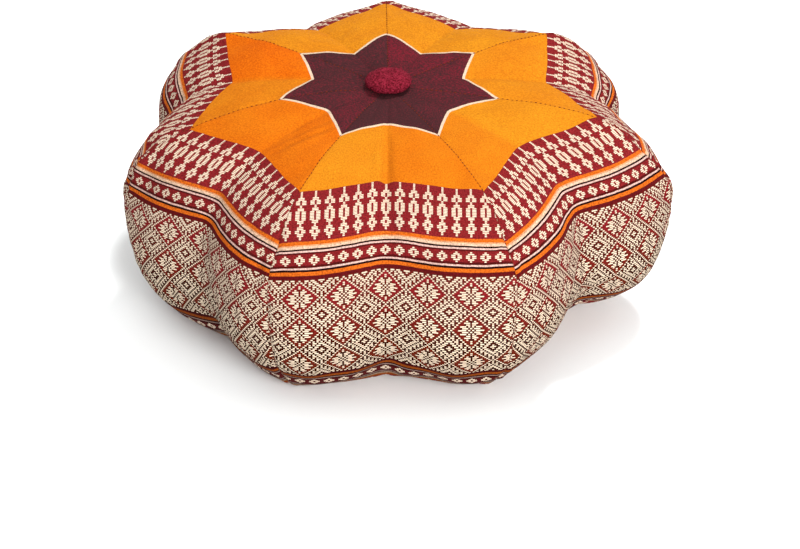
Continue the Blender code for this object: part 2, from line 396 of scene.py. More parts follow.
class Cover:
    """The cover as a grid: rows run round the cushion, columns from the top centre to the underside's."""

    def __init__(self):
        steps = ROWS_BETWEEN_STATIONS
        places = [station + i / count for station, count in enumerate(steps) for i in range(count)]
        self.places = np.array(places[1:])
        half = column_shares()
        self.shares = np.concatenate([-half[::-1][:-1], half])[:-1]
        self.around = GORES * len(self.shares)
        body = body_points(self.places, self.shares)
        self.points = body.reshape(len(self.places), self.around, 3)
        self.cloth = station_values(self.places)[:, CLOTH] * MM
        self.across = self._distances_across()

    def _distances_across(self):
        """Cloth distances from each gore's mid-line, by row, gore and column, its end seam included."""
        steps = np.linalg.norm(np.roll(self.points, -1, axis=1) - self.points, axis=-1)
        steps = steps.reshape(len(self.places), GORES, len(self.shares))
        sums = np.concatenate([np.zeros_like(steps[..., :1]), np.cumsum(steps, axis=-1)], axis=-1)
        return sums - sums[..., HALF_GORE_COLUMNS][..., None]

    def stuff(self, sizes):
        """Lets the cover swell and wrinkle as cloth that is sewn fast at its seams and darts."""
        first, last = np.searchsorted(self.cloth, (STUFFED_FROM, STUFFED_TO))
        rows = np.arange(first, last, STUFF_ROW_STEP)
        columns = np.arange(0, self.around, STUFF_COLUMN_STEP)
        rest = self.points[np.ix_(rows, columns)]
        share = np.abs(np.tile(self.shares, GORES)[columns])
        hold = np.zeros(rest.shape[:2])
        hold[:, share > AT_SEAM] = 1.0
        flat = 1.0 - smooth_step(*VALLEY_LOOSENS, self.cloth[rows])
        hold[:, share < AT_VALLEY] = (VALLEY_HOLD + (1.0 - VALLEY_HOLD) * flat)[:, None]
        hold[[0, -1]] = 1.0
        moved = simulate(rest, hold, sizes) - rest
        size = np.linalg.norm(moved, axis=-1, keepdims=True) + TINY
        side = smooth_step(*SIDE_SWELLS, self.cloth[rows])[:, None, None]
        limit = sizes.swell_limit * (TOP_SWELL + (1.0 - TOP_SWELL) * side)
        moved *= limit * np.tanh(size / limit) / size
        moved = spread(moved, rows, np.arange(len(self.places)), axis=0)
        ring = np.concatenate([moved, moved[:, :1]], axis=1)
        moved = spread(ring, np.append(columns, self.around), np.arange(self.around), axis=1)
        for _ in range(STUFF_SMOOTHING):
            for axis in (0, 1):
                beside = np.roll(moved, 1, axis=axis) + np.roll(moved, -1, axis=axis)
                moved = 0.5 * moved + 0.25 * beside
        self.points = self.points + moved

    def seam_distances(self):
        across = self.across[..., :-1]
        ends = np.where(self.shares > 0.0, self.across[..., -1:], -self.across[..., :1])
        return (ends - np.abs(across)).reshape(len(self.places), self.around)

    def folds(self):
        """How deep the folds of the table lie at every point of the grid."""
        depth = np.zeros(self.across.shape)
        for gore, start, end, width, fold in FOLDS:
            across = self.across[:, gore]
            spot = np.stack([self.cloth[:, None] + 0.0 * across, across], axis=-1)
            start, line = np.array(start) * MM, (np.array(end) - np.array(start)) * MM
            share = np.clip((spot - start) @ line / (line @ line), 0.0, 1.0)
            away = np.linalg.norm(spot - start - share[..., None] * line, axis=-1) / (width * MM)
            fade = np.sin(math.pi * (FOLD_END + (1.0 - 2.0 * FOLD_END) * share))
            depth[:, gore] += fold * MM * np.exp(-(away**2)) * fade
        return depth[..., :-1].reshape(len(self.places), self.around)

    def shape_details(self):
        """Sews the grooves and darts, and puts in the puckers and creases."""
        points = self.points
        radius = np.hypot(points[..., 0], points[..., 1])
        across = np.abs(self.across[..., :-1]).reshape(radius.shape)
        from_seam = self.seam_distances()
        cloth = self.cloth[:, None]
        upper = 1.0 - smooth_step(*UPPER_ENDS, cloth)
        open_top = smooth_step(*RIPPLES_START, radius)
        side = smooth_step(*SIDE_STARTS, cloth) * upper
        move = np.zeros(points.shape[:2])
        groove = np.exp(-((from_seam / SEAM_GROOVE_WIDTH) ** 2))
        groove *= GROOVE_ON_TOP + (1.0 - GROOVE_ON_TOP) * side
        move -= SEAM_GROOVE_DEPTH * groove * smooth_step(*GROOVES_START, radius)
        shoulder = np.exp(-(((from_seam - SHOULDER_PLACE) / SHOULDER_WIDTH) ** 2))
        move += SHOULDER_HEIGHT * shoulder * side
        dart = np.exp(-((across / DART_WIDTH) ** 2)) * (1.0 - smooth_step(*DARTS_END, cloth))
        move -= DART_DEPTH * dart * smooth_step(*DARTS_START, radius)
        tug = 1.0 - TUG + TUG * Waves(*TUG_WAVES).at(points)
        pucker = Waves(*PUCKER_WAVES).at(points) * np.exp(-from_seam / PUCKER_REACH)
        pucker *= tug * (PUCKER_ON_TOP + (1.0 - PUCKER_ON_TOP) * side)
        move += PUCKER_HEIGHT * pucker * open_top
        rumple = Waves(*RUMPLE_WAVES).at(points * np.array(RUMPLE_DRAW))
        move += RUMPLE_HEIGHT * rumple * side
        move += HAND_HEIGHT * Waves(*HAND_WAVES).at(points) * open_top * upper
        level = points * np.array([1.0, 1.0, 0.0]) / (radius[..., None] + TINY)
        gathers = np.minimum(Waves(*GATHER_WAVES).at(level), GATHER_LEVEL) - GATHER_LEVEL
        close = smooth_step(*GATHERS_START, radius) * (1.0 - smooth_step(*GATHERS_END, radius))
        move += GATHER_HEIGHT * gathers * close * (cloth < TOP_ENDS)
        move -= self.folds()
        self.points = points + move[..., None] * grid_normals(points)
        self.points[..., 2] = np.maximum(self.points[..., 2], 0.0)

    def build(self, name):
        """The grid as a closed mesh with its cloth and bake maps and the painted sheen tint of each half
        gore.
        """
        rows, around = self.points.shape[:2]
        centres = [[0.0, 0.0, STATIONS[0][3] * MM - TOP_CENTRE_DROP], [0.0, 0.0, STATIONS[-1][3] * MM]]
        vertices = np.concatenate([self.points.reshape(-1, 3), centres]) + np.array(AXIS)
        top, bottom = rows * around, rows * around + 1
        quads, grid, beside = grid_quads(rows, around)
        faces = [tuple(quad) for quad in quads.tolist()]
        faces += [(top, int(a), int(b)) for a, b in zip(grid[0], beside[0])]
        faces += [(int(a), bottom, int(b)) for a, b in zip(grid[-1], beside[-1])]
        mesh = bpy.data.meshes.new(name)
        mesh.from_pydata(vertices.tolist(), [], faces)
        mesh.shade_smooth()
        self._lay_maps(mesh)
        return new_object(name, mesh)

    def _lay_maps(self, mesh):
        """Lays the cloth and bake maps on each corner, with its painted sheen tint and gore, and the seam's
        distance.
        """
        rows, around = self.points.shape[:2]
        per_gore = len(self.shares)
        gore = np.arange(around) // per_gore
        left = self.across[..., :-1].reshape(rows, around)
        right = self.across[..., 1:].reshape(rows, around)
        upper, lower = self.cloth[:-1, None], self.cloth[1:, None]
        spot = np.ones((rows - 1, around))
        along = np.stack([upper * spot, lower * spot, lower * spot, upper * spot], axis=-1).reshape(-1)
        across = np.stack([left[:-1], left[1:], right[1:], right[:-1]], axis=-1).reshape(-1)
        middle = np.zeros(around)
        far_end = self.cloth[-1] + CLOTH_UNDER_CENTRE
        cap_along = [0.0, self.cloth[0], self.cloth[0]], [self.cloth[-1], far_end, self.cloth[-1]]
        cap_across = [middle, left[0], right[0]], [left[-1], middle, right[-1]]
        for heights, places in zip(cap_along, cap_across):
            along = np.append(along, np.tile(heights, around))
            across = np.append(across, np.stack(places, axis=-1).reshape(-1))
        cap = np.repeat(gore, 3)
        gore_of_corner = np.concatenate([np.repeat(np.tile(gore, rows - 1), 4), cap, cap])
        cloth_map = mesh.uv_layers.new(name="Cloth")
        cloth_map.data.foreach_set("uv", np.stack([across, along], axis=-1).reshape(-1))
        bake_map = mesh.uv_layers.new(name="OFBake")
        bake_map.data.foreach_set("uv", bake_places(across, along, gore_of_corner).reshape(-1))
        # The Half Gore attribute holds the painted sheen tint of each half gore, and the gore's number.
        tints = mesh.color_attributes.new(name="Half Gore", type="FLOAT_COLOR", domain="CORNER")
        table = np.array(HALF_GORE_SHEEN_TINTS)
        share = np.clip(0.5 + 0.5 * across / VALLEY_BLEND, 0.0, 1.0)[:, None]
        sheen_tint = table[gore_of_corner, 0] * (1.0 - share) + table[gore_of_corner, 1] * share
        colours = np.column_stack([sheen_tint, gore_of_corner / GORES, np.ones(len(sheen_tint))])
        tints.data.foreach_set("color", colours.reshape(-1))
        seam = mesh.attributes.new(name="Seam Distance", type="FLOAT", domain="POINT")
        seam.data.foreach_set("value", np.append(self.seam_distances().reshape(-1), [0.0, 0.0]))


# The bake map gives the patterned cloth the most room.
# Columns: cloth in mm, how far up its gore's box that is.
BAKE_STOPS = ((0.0, 0.0), (126.0, 0.17), (335.0, 0.86), (362.0, 0.91), (500.0, 1.0))
BAKE_GORES_ACROSS, BAKE_GORES_UP = 4, 2
BAKE_HALF_WIDTH = 103.0 * MM
BAKE_MARGIN = 0.004


def bake_places(across, along, gore):
    """Places on the bake map: each gore lies in its own box, four boxes to a row."""
    cloth, up = zip(*BAKE_STOPS)
    box_width, box_height = 1.0 / BAKE_GORES_ACROSS, 1.0 / BAKE_GORES_UP
    sideways = 0.5 + 0.5 * across / BAKE_HALF_WIDTH
    upwards = np.interp(along / MM, cloth, up)
    left = (gore % BAKE_GORES_ACROSS) * box_width + BAKE_MARGIN
    bottom = (gore // BAKE_GORES_ACROSS) * box_height + BAKE_MARGIN
    return np.stack(
        [
            left + sideways * (box_width - 2.0 * BAKE_MARGIN),
            bottom + upwards * (box_height - 2.0 * BAKE_MARGIN),
        ],
        axis=-1,
    )


# The cloth is shot, and these tints are painted sheen: each half gore's mix of golden with deep orange, and
# of crimson with plum, is the tone that it shows under this light and from this view, painted into its
# colour.
# A row for each gore, from the front one to the right: (golden, crimson) on its first half and its second.
HALF_GORE_SHEEN_TINTS = (
    ((0.82, 0.1), (0.45, 0.15)),
    ((0.6, 0.25), (0.92, 0.4)),
    ((0.8, 0.5), (0.75, 0.6)),
    ((0.95, 0.7), (0.9, 0.75)),
    ((0.9, 0.15), (0.85, 0.2)),
    ((0.1, 0.3), (0.6, 0.4)),
    ((0.34, 0.45), (0.25, 0.5)),
)
# The width over which the two halves' painted sheen tints run into each other at the valley, to either
# side.
VALLEY_BLEND = 5.0 * MM

# The weave: the motifs' repeat, its rows and cells, and the stripes' edges, in mm along the gore
REPEAT_PITCH = 10.93
REPEAT_CELLS = 7
TALL_ROW = 44.5 / 33.0
DIAMOND_CELL = 1.494
DIAMOND_ROWS = 60
FLOWER_ROW = 1.3
STAR_EDGE, ORANGE_START, ORANGE_EDGE, BAND_TOP, BAND_BOTTOM = 59.3, 61.6, 126.0, 170.5, 199.0
LOWER_BAND_TOP = 286.8
# Half of each motif, from its mid-line outwards, with the number of rows that are alike.
TALL_MOTIF = (
    *((5, "X..."), (2, "XX.."), (3, ".XX."), (2, "X..."), (2, "XX.."), (6, ".XX."), (2, "XX..")),
    *((2, "X..."), (2, "XX.."), (2, ".XX."), (2, "XX.."), (2, "X..."), (1, "....")),
)
FLOWER_MOTIF = ((1, "X..."), (1, "XX.."), (2, ".XX."), (1, "XX.."), (1, "X..."))
# A quarter of the diamond field's repeat, from the flower's centre out to the next crossing.
DIAMOND_ROWS_DOWN = (
    ".X.XXXX...X.",
    "X.XXX....X.X",
    ".X.XXX..X..X",
    ".XX....X.X.X",
    ".XXX..X..XX.",
    "..X..X.X.X.X",
    "X...X..XX.XX",
    "X..X.X.X.XX.",
    "..X..XX.XX..",
    ".X.X.X.XX..X",
    "X..XX.XX..XX",
)
DIAMOND_CHART = tuple((1, line) for line in DIAMOND_ROWS_DOWN)
DIAMOND_HALF_ROWS, DIAMOND_HALF_CELLS = 10.0, 11.0
# Rows and cells counted together from a flower's centre, between which its ring of ground is redder.
RING = (6.5, 9.5)
# The field's ground deepens over this stretch.
FIELD_DEEPENS = (205.0, 262.0)
# The border's stripes from its top edge down. Columns: width in mm, colour.
BAND_STRIPES = (
    (2.8, "stripe_orange"),
    (1.1, "peach"),
    (2.1, "pale"),
    (1.3, "black"),
    (1.3, "white"),
    (1.3, "dark"),
    (8.1, "band_red"),
    (1.8, "dark"),
    (1.3, "white"),
    (1.5, "black"),
    (2.8, "stripe_orange"),
    (3.1, "maroon"),
)
# The row of small flowers lies this far down the border.
FLOWER_MIDDLE = 14.2
# How much darker the lower border's ground is than the upper one's: painted shade, low on the cushion.
LOWER_BAND_PAINTED_SHADE = 0.45
# The cloth darkens into a seam over this width: the seam's dark line, with painted shade for its groove.
SEAM_LINE_WIDTH = 0.7
# How far out of line the stripes of neighbouring gores are, in mm where a gore is widest.
SEAM_MISMATCH = 1.2
WIDEST_HALF_GORE = 90.0
# Cloth sends back this share of its yarns' colours, because its threads shade each other.
CLOTH_SHADE = 0.53
# Each float is a little shorter than its row, so that the ground shows between the rows.
ROW_GAP = 0.29
# Floats catch this much more light than the ground, which is painted into their colour as painted sheen.
# Low on the cushion they are painted this much lighter still, as painted light, and the gaps grow by this
# share of a row.
FLOATS_SHINE, LOW_FLOATS_PAINTED_LIGHT = 0.12, 0.4
LOW_GAP_GAIN = 0.16
# How much the seam's dark line and the painted shade of its groove darken the cloth.
SEAM_LINE_AND_SHADE_DARKENS = 0.3
SPECULAR, THREAD_SPECULAR = 0.05, 0.1
CLOTH_ROUGHNESS, THREAD_ROUGHNESS = 0.9, 0.8
# Floats are this much smoother than the ground.
FLOAT_SMOOTHER = 0.1

# The cloth's unevenness. Columns: scale of the noise, its detail and its roughness.
WAVER_NOISE = (0.11, 1.0, 0.5)
GRAIN_NOISE = (1.0, 3.0, 0.7)
FINE_NOISE = (0.75, 2.0, 0.7)
CLOUDY_NOISE = (0.035, 2.0, 0.5)
# Gores lie this far apart in the noises, so no two are alike, and the grain is stretched along the gore.
GORE_STEP, GRAIN_GORE_STEP = 260.0, 77.0
GRAIN_ACROSS, GRAIN_ALONG = 1.6, 0.45
WAVER_SIZE = 0.7
# Columns: how much the grain, the fine and the cloudy unevenness change the share of golden in the orange,
# the share of crimson in the star, and the cloth's lightness.
GOLD_WEIGHTS = (0.5, 0.5, 0.4)
STAR_WEIGHTS = (0.0, 3.2, 0.8)
SHADE_WEIGHTS = (0.7, 1.1, 0.2)
STAR_TINT, STAR_PLUM = 0.9, 0.22
GROUND_MOTTLE = 1.5
# The weave's relief, in mm: the pitch of ribs and threads, and how high everything stands.
RIB_PITCH, THREAD_PITCH = 0.7, 0.75
FLOAT_RISE, RIB_RISE, FINE_RISE = 0.35, 0.03, 0.12
BUMP_STRENGTH = 0.6

# The button's cloth and the thread: their noises, the share of lighter yarn, and how the noises change it.
BUTTON_FINE_NOISE, BUTTON_CLOUDY_NOISE = (800.0, 3.0, 0.8), (160.0, 2.0)
BUTTON_LIGHT_SHARE, BUTTON_FINE_WEIGHT, BUTTON_CLOUDY_WEIGHT = 0.4, 4.5, 0.6
BUTTON_FINE_RISE = 0.5
THREAD_NOISE = (2500.0, 1.0)
THREAD_BUMP = (0.5, 0.1 * MM)


def from_screen(red, green, blue):
    """A colour given as it shows on a screen, from 0 to 255, as Blender's linear one."""
    shades = (value / 255.0 for value in (red, green, blue))
    return tuple(v / 12.92 if v <= 0.04045 else ((v + 0.055) / 1.055) ** 2.4 for v in shades)


YARN_SHADES = {
    "golden": (235, 149, 26),
    "deep_orange": (240, 106, 0),
    "plum": (77, 40, 43),
    "crimson": (131, 28, 45),
    "edge_line": (246, 218, 188),
    "tall_red": (143, 35, 38),
    "cream": (255, 233, 204),
    "stripe_orange": (232, 110, 28),
    "peach": (240, 170, 118),
    "pale": (245, 202, 172),
    "black": (40, 12, 8),
    "white": (242, 196, 182),
    "dark": (88, 18, 18),
    "band_red": (140, 34, 36),
    "maroon": (104, 20, 22),
    "field_dark": (112, 32, 26),
    "field_red": (148, 32, 38),
    "low_field_dark": (64, 22, 8),
    "low_field_red": (112, 34, 16),
    "button_shade": (86, 4, 18),
    "button_light": (178, 46, 70),
    "thread_shade": (60, 14, 4),
    "thread_light": (120, 44, 10),
}
YARNS = {name: from_screen(*shade) for name, shade in YARN_SHADES.items()}


def shader_operator(operation, reflected=False):
    """A Python operator that adds a Math node."""

    def apply(self, other):
        numbers = (other, self) if reflected else (self, other)
        return self.finish.maths(operation, *numbers)

    return apply


class Value:
    """A number, vector or colour that changes over a surface, which Python's own operators work on."""

    def __init__(self, finish, socket):
        self.finish = finish
        self.socket = socket

    __add__ = __radd__ = shader_operator("ADD")
    __mul__ = __rmul__ = shader_operator("MULTIPLY")
    __sub__, __rsub__ = shader_operator("SUBTRACT"), shader_operator("SUBTRACT", reflected=True)
    __truediv__, __rtruediv__ = shader_operator("DIVIDE"), shader_operator("DIVIDE", reflected=True)
    __mod__ = shader_operator("FLOORED_MODULO")
    __rmod__ = shader_operator("FLOORED_MODULO", reflected=True)
    __gt__, __lt__ = shader_operator("GREATER_THAN"), shader_operator("LESS_THAN")

    def __abs__(self):
        return self.finish.maths("ABSOLUTE", self)

    def floor(self):
        return self.finish.maths("FLOOR", self)

    def within(self, low, high):
        """1 where the number lies between low and high, and 0 elsewhere."""
        return (self > low) * (self < high)


class Finish:
    """A material whose nodes are made by plain expressions."""

    def __init__(self, name):
        self.material = bpy.data.materials.new(name)
        self.material.use_nodes = True
        self.tree = self.material.node_tree
        self.shader = self.tree.nodes["Principled BSDF"]

    def link(self, value, socket):
        if isinstance(value, Value):
            self.tree.links.new(value.socket, socket)
        elif isinstance(value, tuple) and len(value) == 3 and socket.type == "RGBA":
            socket.default_value = (*value, 1.0)
        else:
            socket.default_value = value

    def node(self, kind, settings=None, inputs=None, output=0):
        """Adds a node: its settings come first, then the values or links of its sockets."""
        node = self.tree.nodes.new(kind)
        for name, setting in (settings or {}).items():
            if name == "stops":
                self._set_stops(node.color_ramp, setting)
            else:
                setattr(node, name, setting)
        for name, value in (inputs or {}).items():
            self.link(value, node.inputs[name])
        return Value(self, node.outputs[output])

    def _set_stops(self, ramp, stops):
        ramp.interpolation = "CONSTANT"
        while len(ramp.elements) > 1:
            ramp.elements.remove(ramp.elements[-1])
        for number, (place, colour) in enumerate(stops):
            element = ramp.elements[0] if number == 0 else ramp.elements.new(place)
            element.position = place
            element.color = colour

    def maths(self, operation, *numbers):
        return self.node("ShaderNodeMath", {"operation": operation}, dict(enumerate(numbers)))

    def mix(self, share, first, second, blend="MIX"):
        """first where share is 0 and second where it is 1, as a colour."""
        node = self.tree.nodes.new("ShaderNodeMix")
        node.data_type = "RGBA"
        node.blend_type = blend
        colours = [socket for socket in node.inputs if socket.type == "RGBA"]
        self.link(share, node.inputs[0])
        self.link(first, colours[0])
        self.link(second, colours[1])
        return Value(self, next(socket for socket in node.outputs if socket.type == "RGBA"))

    def noise(self, place, scale, detail=2.0, roughness=0.5):
        """Noise to either side of 0."""
        sizes = {"Vector": place, "Scale": scale, "Detail": detail, "Roughness": roughness}
        return self.node("ShaderNodeTexNoise", {}, sizes) - 0.5

    def combine(self, x, y, z=0.0):
        return self.node("ShaderNodeCombineXYZ", {}, {"X": x, "Y": y, "Z": z})

    def separate(self, vector):
        node = self.tree.nodes.new("ShaderNodeSeparateXYZ")
        self.link(vector, node.inputs[0])
        return [Value(self, socket) for socket in node.outputs]

    def ramp(self, place, stops):
        """A colour ramp's colour and its alpha, which both jump at each stop."""
        colour = self.node("ShaderNodeValToRGB", {"stops": stops}, {"Fac": place})
        return colour, Value(self, colour.socket.node.outputs["Alpha"])

    def clamp(self, number):
        return self.node("ShaderNodeClamp", {}, {"Value": number})

    def times(self, colour, shade):
        """A colour made darker or lighter by a number."""
        return self.mix(1.0, colour, self.combine(shade, shade, shade), "MULTIPLY")

    def bump(self, height, strength=BUMP_STRENGTH, distance=MM):
        sizes = {"Strength": strength, "Distance": distance, "Height": height}
        return self.node("ShaderNodeBump", {}, sizes)

    def dress(self, colour, roughness, specular=0.5, normal=None):
        self.link(colour, self.shader.inputs["Base Color"])
        self.link(roughness, self.shader.inputs["Roughness"])
        self.link(specular, self.shader.inputs["Specular IOR Level"])
        if normal is not None:
            self.link(normal, self.shader.inputs["Normal"])
        return self.material


def chart_value(finish, chart, row, column):
    """1 where a motif's chart has an X. Each of a ramp's stops is a row, and its channels are columns."""
    rows = [line for count, line in chart for _ in range(count)]
    place = (row + 0.5) / float(len(rows))
    found = None
    for first in range(0, len(rows[0]), 4):
        stops = []
        start = 0
        for count, line in chart:
            channels = tuple(float(mark == "X") for mark in line[first : first + 4])
            stops.append((start / len(rows), channels))
            start += count
        colour, alpha = finish.ramp(place, stops)
        channels = [*finish.separate(colour)[:3], alpha]
        for offset, channel in enumerate(channels):
            here = channel * column.within(first + offset - 0.5, first + offset + 0.5)
            found = here if found is None else found + here
    return found


def between_gaps(place, gap=ROW_GAP):
    """1 on the floats of a row and 0 in the gap to the next one."""
    return (place % 1.0) > gap


def motif_floats(finish, across, along, mirrored, lower):
    """1 on the floats of all motifs, and 1 on the diamond field's rings of redder ground."""
    column = (abs((across / REPEAT_PITCH + 0.5) % 1.0 - 0.5) * REPEAT_CELLS + 0.5).floor()
    tall_place = (mirrored - ORANGE_EDGE) / TALL_ROW
    tall = chart_value(finish, TALL_MOTIF, tall_place.floor(), column) * between_gaps(tall_place)
    rows = sum(count for count, _ in FLOWER_MOTIF)
    top = BAND_TOP + FLOWER_MIDDLE - rows * FLOWER_ROW / 2.0
    flower_place = (mirrored - top) / FLOWER_ROW
    flower = chart_value(finish, FLOWER_MOTIF, flower_place.floor(), column) * between_gaps(flower_place)
    place = (along - BAND_BOTTOM) / ((LOWER_BAND_TOP - BAND_BOTTOM) / DIAMOND_ROWS)
    row = abs(place.floor() % (2.0 * DIAMOND_HALF_ROWS) - DIAMOND_HALF_ROWS)
    cell = (across / DIAMOND_CELL + 0.5).floor() + DIAMOND_HALF_CELLS
    cell = abs(cell % (2.0 * DIAMOND_HALF_CELLS) - DIAMOND_HALF_CELLS)
    diamond = chart_value(finish, DIAMOND_CHART, row, cell)
    diamond = diamond * between_gaps(place, ROW_GAP + lower * LOW_GAP_GAIN)
    floats = tall * mirrored.within(ORANGE_EDGE, BAND_TOP)
    floats = floats + flower * mirrored.within(top, top + rows * FLOWER_ROW)
    floats = floats + diamond * along.within(BAND_BOTTOM, LOWER_BAND_TOP)
    return floats, (row + cell).within(*RING)


def ground_stripes(finish, star, orange, along, mirrored, lower, ring):
    """The ground's colour, from the star out to the field and back under the cushion."""
    stops = []
    start = 0.0
    for width, yarn in BAND_STRIPES:
        stops.append((start / (BAND_BOTTOM - BAND_TOP), (*YARNS[yarn], 1.0)))
        start += width
    band, _ = finish.ramp((mirrored - BAND_TOP) / (BAND_BOTTOM - BAND_TOP), stops)
    # Painted shade: the lower border's stripes are darkened, low on the cushion.
    band = finish.mix(along > LOWER_BAND_TOP, band, finish.times(band, LOWER_BAND_PAINTED_SHADE))
    field_dark = finish.mix(lower, YARNS["field_dark"], YARNS["low_field_dark"])
    field_red = finish.mix(lower, YARNS["field_red"], YARNS["low_field_red"])
    field = finish.mix(ring, field_dark, field_red)
    edges = (STAR_EDGE, ORANGE_START, ORANGE_EDGE, BAND_TOP, BAND_BOTTOM)
    ground = star
    for edge, colour in zip(edges, (YARNS["edge_line"], orange, YARNS["tall_red"], band, field)):
        ground = finish.mix(mirrored > edge, ground, colour)
    return ground


def woven_cover():
    """The cover's cloth: stripes by the distance along the gore, and charted motifs on them."""
    finish = Finish("woven_cover")
    half_gore = finish.node("ShaderNodeAttribute", {"attribute_name": "Half Gore"}, output=0)
    # golden and crimson are the half gore's painted sheen: the tone it shows under this light and from this
    # view.
    golden, crimson, gore = finish.separate(half_gore)
    across, along, _ = finish.separate(finish.node("ShaderNodeUVMap", {"uv_map": "Cloth"}))
    across, along = across / MM, along / MM
    place = finish.combine(across, along, gore * GORE_STEP)
    waver = finish.noise(place, *WAVER_NOISE) * WAVER_SIZE
    along = along + waver + across * abs(across) * (SEAM_MISMATCH / WIDEST_HALF_GORE**2)
    middle = (BAND_BOTTOM + LOWER_BAND_TOP) / 2.0
    mirrored = middle - abs(along - middle)
    lower = finish.clamp((along - FIELD_DEEPENS[0]) / (FIELD_DEEPENS[1] - FIELD_DEEPENS[0]))
    floats, ring = motif_floats(finish, across, along, mirrored, lower)

    grain_place = finish.combine(across * GRAIN_ACROSS, along * GRAIN_ALONG, gore * GRAIN_GORE_STEP)
    grain = finish.noise(grain_place, *GRAIN_NOISE)
    fine = finish.noise(place, *FINE_NOISE)
    cloudy = finish.noise(place, *CLOUDY_NOISE)

    def uneven(weights):
        return grain * weights[0] + fine * weights[1] + cloudy * weights[2]

    gold_share = finish.clamp(golden + uneven(GOLD_WEIGHTS))
    orange = finish.mix(gold_share, YARNS["deep_orange"], YARNS["golden"])
    crimson_share = finish.clamp(crimson * STAR_TINT + uneven(STAR_WEIGHTS) - STAR_PLUM)
    star = finish.mix(crimson_share, YARNS["plum"], YARNS["crimson"])
    ground = ground_stripes(finish, star, orange, along, mirrored, lower, ring)
    colour = finish.mix(floats, ground, YARNS["cream"])
    # Painted shade: the cloth darkens towards each seam, for the seam's dark line and the shade in its
    # groove.
    seam = finish.node("ShaderNodeAttribute", {"attribute_name": "Seam Distance"}, output=2) / MM
    sewn = finish.clamp(1.0 - seam / SEAM_LINE_WIDTH)
    mottle = fine * ((mirrored > ORANGE_EDGE) * (1.0 - floats) * GROUND_MOTTLE)
    # Painted light: floats are painted lighter than the ground, and lighter still low on the cushion.
    painted_shine = floats * (FLOATS_SHINE + lower * LOW_FLOATS_PAINTED_LIGHT)
    shade = (1.0 + uneven(SHADE_WEIGHTS) + mottle + painted_shine) * (1.0 - sewn * SEAM_LINE_AND_SHADE_DARKENS) * CLOTH_SHADE

    ribs = finish.maths("SINE", along * (math.tau / RIB_PITCH)) * RIB_RISE
    threads = finish.maths("SINE", across * (math.tau / THREAD_PITCH)) * RIB_RISE
    height = floats * FLOAT_RISE + ribs + threads + fine * FINE_RISE
    roughness = CLOTH_ROUGHNESS - floats * FLOAT_SMOOTHER
    return finish.dress(finish.times(colour, shade), roughness, SPECULAR, finish.bump(height))


def button_cloth():
    finish = Finish("button_cloth")
    place = finish.node("ShaderNodeTexCoord", {}, output=3)
    fine = finish.noise(place, *BUTTON_FINE_NOISE)
    cloudy = finish.noise(place, *BUTTON_CLOUDY_NOISE)
    share = BUTTON_LIGHT_SHARE + fine * BUTTON_FINE_WEIGHT + cloudy * BUTTON_CLOUDY_WEIGHT
    share = finish.clamp(share)
    colour = finish.mix(share, YARNS["button_shade"], YARNS["button_light"])
    relief = finish.bump(fine * BUTTON_FINE_RISE)
    return finish.dress(finish.times(colour, CLOTH_SHADE), CLOTH_ROUGHNESS, SPECULAR, relief)


def seam_thread():
    finish = Finish("seam_thread")
    place = finish.node("ShaderNodeTexCoord", {}, output=3)
    twist = finish.noise(place, *THREAD_NOISE) + 0.5
    colour = finish.mix(twist, YARNS["thread_shade"], YARNS["thread_light"])
    return finish.dress(colour, THREAD_ROUGHNESS, THREAD_SPECULAR, finish.bump(twist, *THREAD_BUMP))


# The button's outline from the middle of its top to its foot, in mm: radius, height over the foot.
BUTTON_PROFILE = (
    *((0.6, 11.6), (4.5, 11.4), (8.5, 10.7), (12.0, 9.5), (15.0, 7.9), (17.1, 6.0), (18.0, 4.2)),
    *((17.7, 2.5), (16.4, 1.2), (14.4, 0.5), (12.0, 0.3), (1.0, 0.3)),
)
# The cloth's rumples on it, which leave its foot still.
BUTTON_RUMPLE, BUTTON_STILL = 0.14 * MM, 0.5 * MM
BUTTON_ROWS, BUTTON_SIDES = 45, 112


class CushionSizes(bpy.types.PropertyGroup):
    fill: FloatProperty(
        name="Fill", description="How tightly the cover is stuffed", default=0.85, min=0.0, max=1.0
    )
    pressure: FloatProperty(
        name="Pressure", description="How hard the filling pushes the cloth outwards", default=3.0, min=0.0
    )
    spare_cloth: FloatProperty(
        name="Spare cloth", description="How much more cloth than surface there is", default=0.025, min=0.0
    )
    swell_limit: FloatProperty(
        name="Swell limit", description="Furthest that the cloth swells", default=2.8 * MM, unit="LENGTH"
    )
    stitch_pitch: FloatProperty(
        name="Stitch pitch", description="From one seam stitch to the next", default=3.7 * MM, unit="LENGTH"
    )
    stitch_length: FloatProperty(
        name="Stitch length", description="Length of a stitch that shows", default=1.7 * MM, unit="LENGTH"
    )
    stitch_thickness: FloatProperty(
        name="Stitch thickness", description="Thickness of the thread", default=0.85 * MM, unit="LENGTH"
    )


class StageSizes(bpy.types.PropertyGroup):
    elevation: FloatProperty(
        name="Elevation",
        description="How far the camera looks down",
        default=math.radians(28.8),
        subtype="ANGLE",
    )
    turn: FloatProperty(
        name="Turn",
        description="How far the camera stands to the left",
        default=math.radians(0.6),
        subtype="ANGLE",
    )
    distance: FloatProperty(
        name="Distance", description="From the camera to the button", default=6.93, unit="LENGTH"
    )
    floor_colour: FloatVectorProperty(
        name="Floor colour", description="Colour of the floor", default=(0.95, 0.975, 0.98), subtype="COLOR"
    )


class CUSHION_OT_cover(bpy.types.Operator):
    """Sews and stuffs the patterned cover"""

    bl_idname = "cushion.cover"
    bl_label = "Sew the Cover"

    def execute(self, context):
        cover = Cover()
        cover.stuff(context.scene.cushion_sizes)
        cover.shape_details()
        piece = cover.build("cover")
        piece.data.materials.append(woven_cover())
        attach(piece, "root")
        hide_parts("cushion")
        sew_stitches(cover, context.scene.cushion_sizes)
        return {"FINISHED"}


